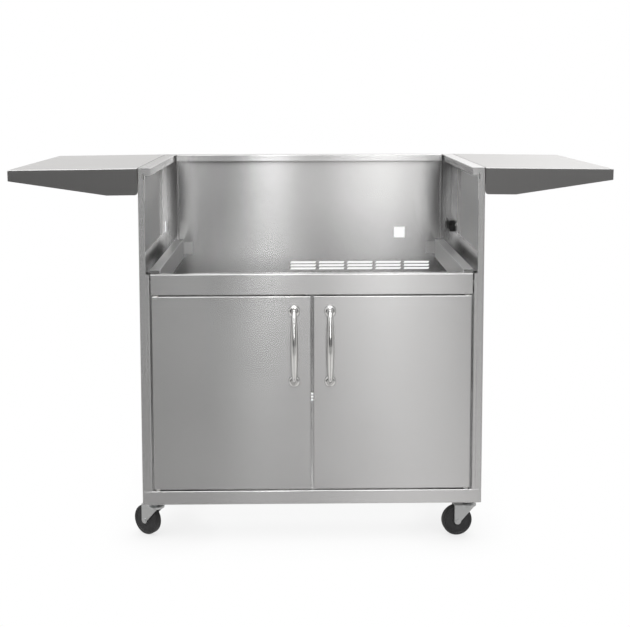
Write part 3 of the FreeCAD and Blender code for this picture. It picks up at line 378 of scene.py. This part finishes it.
@dataclass(frozen=True)
class Moulded:
    """Moulded rubber or plastic with a fine matt skin.

    Args:
        name: the material's name.
        colour: its colour, red, green and blue.
        roughness: mean roughness.
        skin: strength of the fine relief.
    """

    name: str
    colour: Triple
    roughness: float
    skin: float = 0.15
    DUST_SCALE: ClassVar[float] = 45.0
    DUST_DETAIL: ClassVar[float] = 5.0
    DUST_CONTRAST: ClassVar[float] = 0.6
    DUST_START: ClassVar[float] = 0.35
    DUST_ROUGHNESS: ClassVar[float] = 0.06
    CLEAN: ClassVar[float] = 0.8
    DUSTY: ClassVar[float] = 1.3
    PORE_SCALE: ClassVar[float] = 2200.0
    PORE_HEIGHT: ClassVar[float] = 0.0003

    def build(self) -> bpy.types.Material:
        """Build the material.

        Returns:
            The material.
        """
        material, nodes = empty_material(self.name)
        place = nodes.stretched(EVEN)
        dust = nodes.noise(place, self.DUST_SCALE, self.DUST_DETAIL, self.DUST_CONTRAST)
        pores = nodes.noise(place, self.PORE_SCALE)
        low, high = scaled(self.colour, self.CLEAN), scaled(self.colour, self.DUSTY)
        shader = nodes.add("BsdfPrincipled")
        dusty = nodes.remap(dust, self.DUST_START, NOISE_HIGH, 0.0, 1.0)
        nodes.feed(shader.inputs["Base Color"], nodes.mix(dusty, low, high))
        rough = nodes.remap(dust, NOISE_LOW, NOISE_HIGH, self.roughness - self.DUST_ROUGHNESS,
                            self.roughness + self.DUST_ROUGHNESS)
        nodes.feed(shader.inputs["Roughness"], rough)
        nodes.relief(shader, pores, self.skin, self.PORE_HEIGHT)
        nodes.finish("OutputMaterial", shader)
        return material


@dataclass(frozen=True)
class Panel:
    """A soft light panel of the studio, as shiny metal sees it.

    Args:
        azimuth: direction of its middle in degrees, 0 in front of the doors and positive to the right.
        reach: half its width in degrees.
        low: its lower edge in degrees above the horizon.
        high: its upper edge in degrees above the horizon.
        strength: its brightness.
    """

    azimuth: float
    reach: float
    low: float
    high: float
    strength: float
    FADE_START: ClassVar[float] = 0.5
    FADE_END: ClassVar[float] = 1.5
    EDGE: ClassVar[float] = 1.5

    def light(self, nodes: Nodes, azimuth: object, elevation: object) -> bpy.types.NodeSocket:
        """Give the panel's light in a direction.

        Args:
            nodes: the world's node tree.
            azimuth: the direction's azimuth in degrees.
            elevation: its elevation in degrees.

        Returns:
            The brightness.
        """
        turned = nodes.math("SUBTRACT", azimuth, self.azimuth)
        off = nodes.math("ABSOLUTE", nodes.math("WRAP", turned, 180.0, -180.0))
        across = nodes.remap(off, self.reach * self.FADE_START, self.reach * self.FADE_END,
                             self.strength, 0.0)
        bottom = nodes.remap(elevation, self.low - self.EDGE, self.low + self.EDGE, 0.0, 1.0)
        top = nodes.remap(elevation, self.high - self.EDGE, self.high + self.EDGE, 1.0, 0.0)
        return nodes.math("MULTIPLY", across, nodes.math("MULTIPLY", bottom, top))


@dataclass(frozen=True)
class LightStrip:
    """A tall narrow lamp far in front of the doors, which draws one bright band on the brushed sheets.

    Args:
        azimuth: its direction in degrees, 0 straight in front of the doors and positive to the right.
        reach: half its width in degrees.
        strength: its brightness.
    """

    azimuth: float
    reach: float
    strength: float
    DISTANCE: ClassVar[float] = 30.0
    LOW: ClassVar[float] = 5.0
    HIGH: ClassVar[float] = 40.0
    WATTS_PER_SQUARE_METRE: ClassVar[float] = 4.0

    def build(self) -> None:
        """Hang the lamp."""
        low, high = (self.DISTANCE * math.tan(math.radians(angle)) for angle in (self.LOW, self.HIGH))
        data = bpy.data.lights.new("strip", "AREA")
        data.shape = "RECTANGLE"
        data.size = 2 * self.DISTANCE * math.tan(math.radians(self.reach))
        data.size_y = high - low
        data.energy = self.WATTS_PER_SQUARE_METRE * data.size * data.size_y * self.strength
        lamp = bpy.data.objects.new("strip", data)
        turn = math.radians(self.azimuth)
        place = (self.DISTANCE * math.sin(turn), -self.DISTANCE * math.cos(turn), (low + high) / 2)
        lamp.matrix_world = (Matrix.Translation(place) @ Matrix.Rotation(turn, 4, "Z")
                             @ Matrix.Rotation(math.pi / 2, 4, "X"))
        lamp.visible_camera = False
        bpy.context.scene.collection.objects.link(lamp)


@dataclass(frozen=True)
class Camera:
    """The camera, where the photograph was taken.

    Args:
        lens: focal length in millimetres.
        eye: its place.
        yaw: turn about Z in radians, negative to the right.
        pitch: tilt downwards in radians.
        roll: turn about the line of sight in radians.
        shift: shift of the picture, as a share of its width.
    """

    lens: float = 60.62
    eye: Triple = (-0.0355, -2.8121, 1.1226)
    yaw: float = -0.01707
    pitch: float = 0.0894
    roll: float = 0.00121
    shift: tuple[float, float] = (-0.00048, -0.2034)
    SENSOR_WIDTH: ClassVar[float] = 36.0
    SIGHT: ClassVar[float] = 100.0

    def build(self) -> None:
        """Place the camera."""
        data = bpy.data.cameras.new("camera")
        data.lens = self.lens
        data.sensor_width = self.SENSOR_WIDTH
        data.sensor_fit = "HORIZONTAL"
        data.shift_x, data.shift_y = self.shift
        data.clip_end = self.SIGHT
        viewer = bpy.data.objects.new("camera", data)
        turn = (Matrix.Rotation(self.yaw, 4, "Z") @ Matrix.Rotation(math.pi / 2 - self.pitch, 4, "X")
                @ Matrix.Rotation(-self.roll, 4, "Z"))
        viewer.matrix_world = Matrix.Translation(self.eye) @ turn
        bpy.context.scene.collection.objects.link(viewer)
        bpy.context.scene.camera = viewer


@dataclass(frozen=True)
class Surroundings:
    """White as the camera sees it, and a dim studio with soft panels as everything else does.

    Ranges are in degrees: azimuth from straight in front, or elevation above the horizon.

    Args:
        panels: the soft panels.
        around_level: brightness of the walls beside and behind.
        below_level: brightness straight below.
        low_tone: tone of the light near the floor.
    """

    panels: tuple[Panel, ...] = (
        Panel(4.2, 3.8, -13.0, 11.0, 0.8),
        Panel(30.0, 12.0, -13.0, 11.0, 0.06),
        Panel(0.0, 55.0, -60.0, -14.0, 0.42),
        Panel(12.0, 6.0, -60.0, -14.0, 0.45),
        Panel(-44.0, 18.0, -60.0, -14.0, 0.35),
        Panel(44.0, 18.0, -60.0, -14.0, 0.35),
        Panel(0.0, 45.0, 42.0, 62.0, 2.2),
        Panel(0.0, 90.0, 60.0, 95.0, 2.4),
        Panel(180.0, 90.0, 60.0, 95.0, 0.8),
        Panel(-150.0, 28.0, -3.0, 14.0, 0.35),
        Panel(150.0, 28.0, 5.0, 14.0, 0.9),
        Panel(171.0, 3.0, 14.0, 60.0, 1.0),
        Panel(-163.0, 4.0, 14.0, 60.0, 1.1),
        Panel(97.0, 4.0, 12.0, 60.0, 1.2),
        Panel(-84.0, 4.0, 12.0, 60.0, 1.0),
    )
    around_level: float = 0.6
    below_level: float = 0.35
    low_tone: Colour = (1.012, 1.0, 0.99, 1.0)
    # Elevation over which the low walls give way to the high ones
    SEAM: ClassVar[tuple[float, float]] = (10.0, 16.0)
    # Azimuth over which the high and the low walls set in beside the dark front
    HIGH_ASIDE: ClassVar[tuple[float, float]] = (15.0, 45.0)
    LOW_ASIDE: ClassVar[tuple[float, float]] = (24.0, 75.0)
    LOW_SHARE: ClassVar[float] = 0.85
    BELOW: ClassVar[tuple[float, float]] = (-64.0, -56.0)
    TONE: ClassVar[tuple[float, float]] = (5.0, 30.0)

    def reflected(self, nodes: Nodes) -> bpy.types.NodeSocket:
        """Give the light that shiny metal sees in each direction, a little warmer near the floor.

        Args:
            nodes: the world's node tree.

        Returns:
            The colour of the light.
        """
        place = nodes.add("TexCoord")
        parts = nodes.add("SeparateXYZ")
        nodes.feed(parts.inputs[0], place.outputs["Generated"])
        x, y, z = parts.outputs
        ahead = nodes.math("MULTIPLY", y, -1.0)
        azimuth = nodes.math("MULTIPLY", nodes.math("ARCTAN2", x, ahead), math.degrees(1))
        elevation = nodes.math("MULTIPLY", nodes.math("ARCSINE", z), math.degrees(1))
        aside = nodes.math("ABSOLUTE", azimuth)
        high = nodes.math("MULTIPLY", nodes.remap(elevation, *self.SEAM, 0.0, 1.0),
                          nodes.remap(aside, *self.HIGH_ASIDE, 0.0, self.around_level))
        low = nodes.math("MULTIPLY", nodes.remap(elevation, *self.SEAM, 1.0, 0.0),
                         nodes.remap(aside, *self.LOW_ASIDE, 0.0, self.around_level * self.LOW_SHARE))
        below = nodes.remap(elevation, *self.BELOW, self.below_level, 0.0)
        level = nodes.math("ADD", nodes.math("ADD", high, low), below)
        for panel in self.panels:
            level = nodes.math("ADD", level, panel.light(nodes, azimuth, elevation))
        tone = nodes.mix(nodes.remap(elevation, *self.TONE, 0.0, 1.0), self.low_tone, grey(1.0))
        return nodes.mix(1.0, tone, level, "MULTIPLY")

    def build(self) -> None:
        """Make the world."""
        world = bpy.data.worlds.new("studio")
        world.use_nodes = True
        world.cycles.sampling_method = "NONE"
        bpy.context.scene.world = world
        nodes = Nodes(world.node_tree)
        shown = nodes.seen_directly()
        background = nodes.add("Background")
        nodes.feed(background.inputs["Color"], nodes.mix(shown, self.reflected(nodes), grey(1.0)))
        nodes.finish("OutputWorld", background)


@dataclass(frozen=True)
class Floor:
    """Round pale floor that shows white to the camera and keeps a faint soft shadow.

    Args:
        radius: its radius.
        shadow_reach: how far the shadow reaches from what stands on the floor.
        shadow_level: brightness of the deepest shadow.
    """

    radius: float = 14.0
    shadow_reach: float = 0.16
    shadow_level: float = 0.72
    SEGMENTS: ClassVar[int] = 96
    SHADOW_SAMPLES: ClassVar[int] = 16
    DARK_SPECK: ClassVar[float] = 0.78
    PALE_SPECK: ClassVar[float] = 0.82
    SPECK_SCALE: ClassVar[float] = 30.0
    SPECK_DETAIL: ClassVar[float] = 3.0

    def material(self) -> bpy.types.Material:
        """Build the floor's material.

        Returns:
            The material.
        """
        material, nodes = empty_material("pale_floor")
        shade = nodes.add("AmbientOcclusion", samples=self.SHADOW_SAMPLES)
        shade.inputs["Distance"].default_value = self.shadow_reach
        glow = nodes.add("Emission")
        nodes.feed(glow.inputs["Color"], nodes.remap(shade.outputs["AO"], 0.0, 1.0, self.shadow_level, 1.0))
        matt = nodes.add("BsdfDiffuse")
        speck = nodes.noise(nodes.stretched(EVEN), self.SPECK_SCALE, self.SPECK_DETAIL)
        nodes.feed(matt.inputs["Color"], nodes.mix(speck, grey(self.DARK_SPECK), grey(self.PALE_SPECK)))
        both = nodes.add("MixShader")
        for socket, source in zip(both.inputs, (nodes.seen_directly(), matt.outputs[0], glow.outputs[0])):
            nodes.feed(socket, source)
        nodes.finish("OutputMaterial", both)
        return material

    def build(self) -> None:
        """Lay the floor."""
        mesh = bpy.data.meshes.new("floor")
        form = bmesh.new()
        bmesh.ops.create_circle(form, cap_ends=True, segments=self.SEGMENTS, radius=self.radius)
        form.to_mesh(mesh)
        form.free()
        floor = bpy.data.objects.new("floor", mesh)
        bpy.context.scene.collection.objects.link(floor)
        mesh.materials.append(self.material())
        floor.visible_glossy = False


@dataclass(frozen=True)
class Studio:
    """The camera, the surroundings, the floor and the lamps.

    Args:
        strips: the tall lamps.
    """

    strips: tuple[LightStrip, ...] = (
        LightStrip(-12.5, 2.3, 2.7),
        LightStrip(-6.3, 1.2, 2.1),
        LightStrip(-1.4, 0.7, 9.3),
        LightStrip(3.6, 0.5, 3.6),
        LightStrip(5.7, 0.8, 5.0),
        LightStrip(9.4, 1.5, 1.9),
    )

    def build(self) -> None:
        """Build the whole studio."""
        Camera().build()
        Surroundings().build()
        Floor().build()
        for strip in self.strips:
            strip.build()
        bpy.context.scene.view_settings.view_transform = "Standard"


@dataclass
class Finishes:
    """Every finish of the cart, built once."""

    front: bpy.types.Material = field(init=False)
    base: bpy.types.Material = field(init=False)
    shelf: bpy.types.Material = field(init=False)
    inner: bpy.types.Material = field(init=False)
    chrome: bpy.types.Material = field(init=False)
    zinc: bpy.types.Material = field(init=False)
    steel: bpy.types.Material = field(init=False)
    rubber: bpy.types.Material = field(init=False)
    plastic: bpy.types.Material = field(init=False)
    nylon: bpy.types.Material = field(init=False)

    def __post_init__(self) -> None:
        """Build the materials."""
        self.front = BrushedSteel("brushed_steel_front", Grain.ALONG_X).build()
        self.base = BrushedSteel("brushed_steel_base", Grain.ALONG_X, roughness=0.24).build()
        self.shelf = BrushedSteel("brushed_steel_shelf", Grain.ALONG_Z, roughness=0.3, spread=0.9).build()
        self.inner = BrushedSteel("brushed_steel_inner", Grain.ALONG_Y, tint=0.72, roughness=0.32,
                                  spread=0.55).build()
        self.chrome = PlainMetal("polished_handle", (0.82, 0.82, 0.81), roughness=0.2).build()
        self.zinc = PlainMetal("zinc_plated_steel", (0.62, 0.63, 0.63), roughness=0.36, clouding=0.1,
                               cloud_scale=140.0).build()
        self.steel = PlainMetal("plain_steel", (0.5, 0.5, 0.49), roughness=0.4, clouding=0.1,
                                cloud_scale=90.0).build()
        self.rubber = Moulded("black_wheel", (0.022, 0.022, 0.023), roughness=0.5).build()
        self.plastic = Moulded("black_plastic", (0.018, 0.018, 0.018), roughness=0.4).build()
        self.nylon = Moulded("white_nylon", (0.75, 0.74, 0.7), roughness=0.5, skin=0.08).build()


def dress(material: bpy.types.Material, *names: str) -> None:
    """Give nodes of the frame one material.

    Args:
        material: the material.
        names: the nodes' names.
    """
    for name in names:
        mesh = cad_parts[name].data
        mesh.materials.clear()
        mesh.materials.append(material)
        LOG.info("%s: %s", name, material.name)


@dataclass(frozen=True)
class Body:
    """The fixed body: base, walls, back, rims and rails.

    Args:
        finishes: the cart's finishes.
    """

    finishes: Finishes

    def build(self) -> None:
        """Dress the body's nodes."""
        made = self.finishes
        dress(made.base, "base_tray")
        dress(made.front, "front_rail", "back_panel", "back_top_rim", "frame_rivets")
        dress(made.steel, "base_corner_plates", "magnetic_catches")
        dress(made.zinc, "door_pivot_pins", "caster_stems", "caster_nuts")
        dress(made.plastic, "hose_bushing")
        for hand in Hand:
            side = hand.value
            dress(made.front, f"{side}_side_panel", f"{side}_hinge_stile", f"{side}_side_rim")
            dress(made.inner, f"{side}_side_liner", f"{side}_grill_rail", f"{side}_shelf_band")


@dataclass(frozen=True)
class Door:
    """One door with its handle and fittings.

    Args:
        hand: the door's side.
        finishes: the cart's finishes.
    """

    hand: Hand
    finishes: Finishes

    def build(self) -> None:
        """Dress the door's nodes."""
        side, made = self.hand.value, self.finishes
        dress(made.front, f"{side}_door_panel", f"{side}_door_liner")
        dress(made.chrome, f"{side}_door_handle", f"{side}_handle_rosettes")
        dress(made.zinc, f"{side}_handle_screws")
        dress(made.nylon, f"{side}_door_bushes")
        dress(made.steel, f"{side}_door_strike")


@dataclass(frozen=True)
class SideShelf:
    """One side shelf with the pieces below it.

    Args:
        hand: the shelf's side.
        finishes: the cart's finishes.
    """

    hand: Hand
    finishes: Finishes

    def build(self) -> None:
        """Dress the shelf's nodes."""
        side, made = self.hand.value, self.finishes
        dress(made.shelf, f"{side}_side_shelf", f"{side}_shelf_hinge_channel", f"{side}_shelf_stiffener")
        dress(made.steel, f"{side}_shelf_bracket", f"{side}_shelf_hinge_rod")


@dataclass(frozen=True)
class Casters:
    """The four casters.

    Args:
        finishes: the cart's finishes.
    """

    finishes: Finishes
    CORNERS: ClassVar[tuple[str, ...]] = ("front_left", "front_right", "rear_left", "rear_right")

    def build(self) -> None:
        """Dress the casters' nodes."""
        for corner in self.CORNERS:
            dress(self.finishes.zinc, f"{corner}_fork", f"{corner}_axle")
            dress(self.finishes.rubber, f"{corner}_wheel")


def main() -> None:
    """Build the studio and dress the cart."""
    logging.basicConfig(level=logging.INFO, format="%(name)s %(message)s")
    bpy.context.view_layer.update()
    Studio().build()
    finishes = Finishes()
    Body(finishes).build()
    for hand in Hand:
        Door(hand, finishes).build()
        SideShelf(hand, finishes).build()
    Casters(finishes).build()


if __name__ == "__main__":
    main()
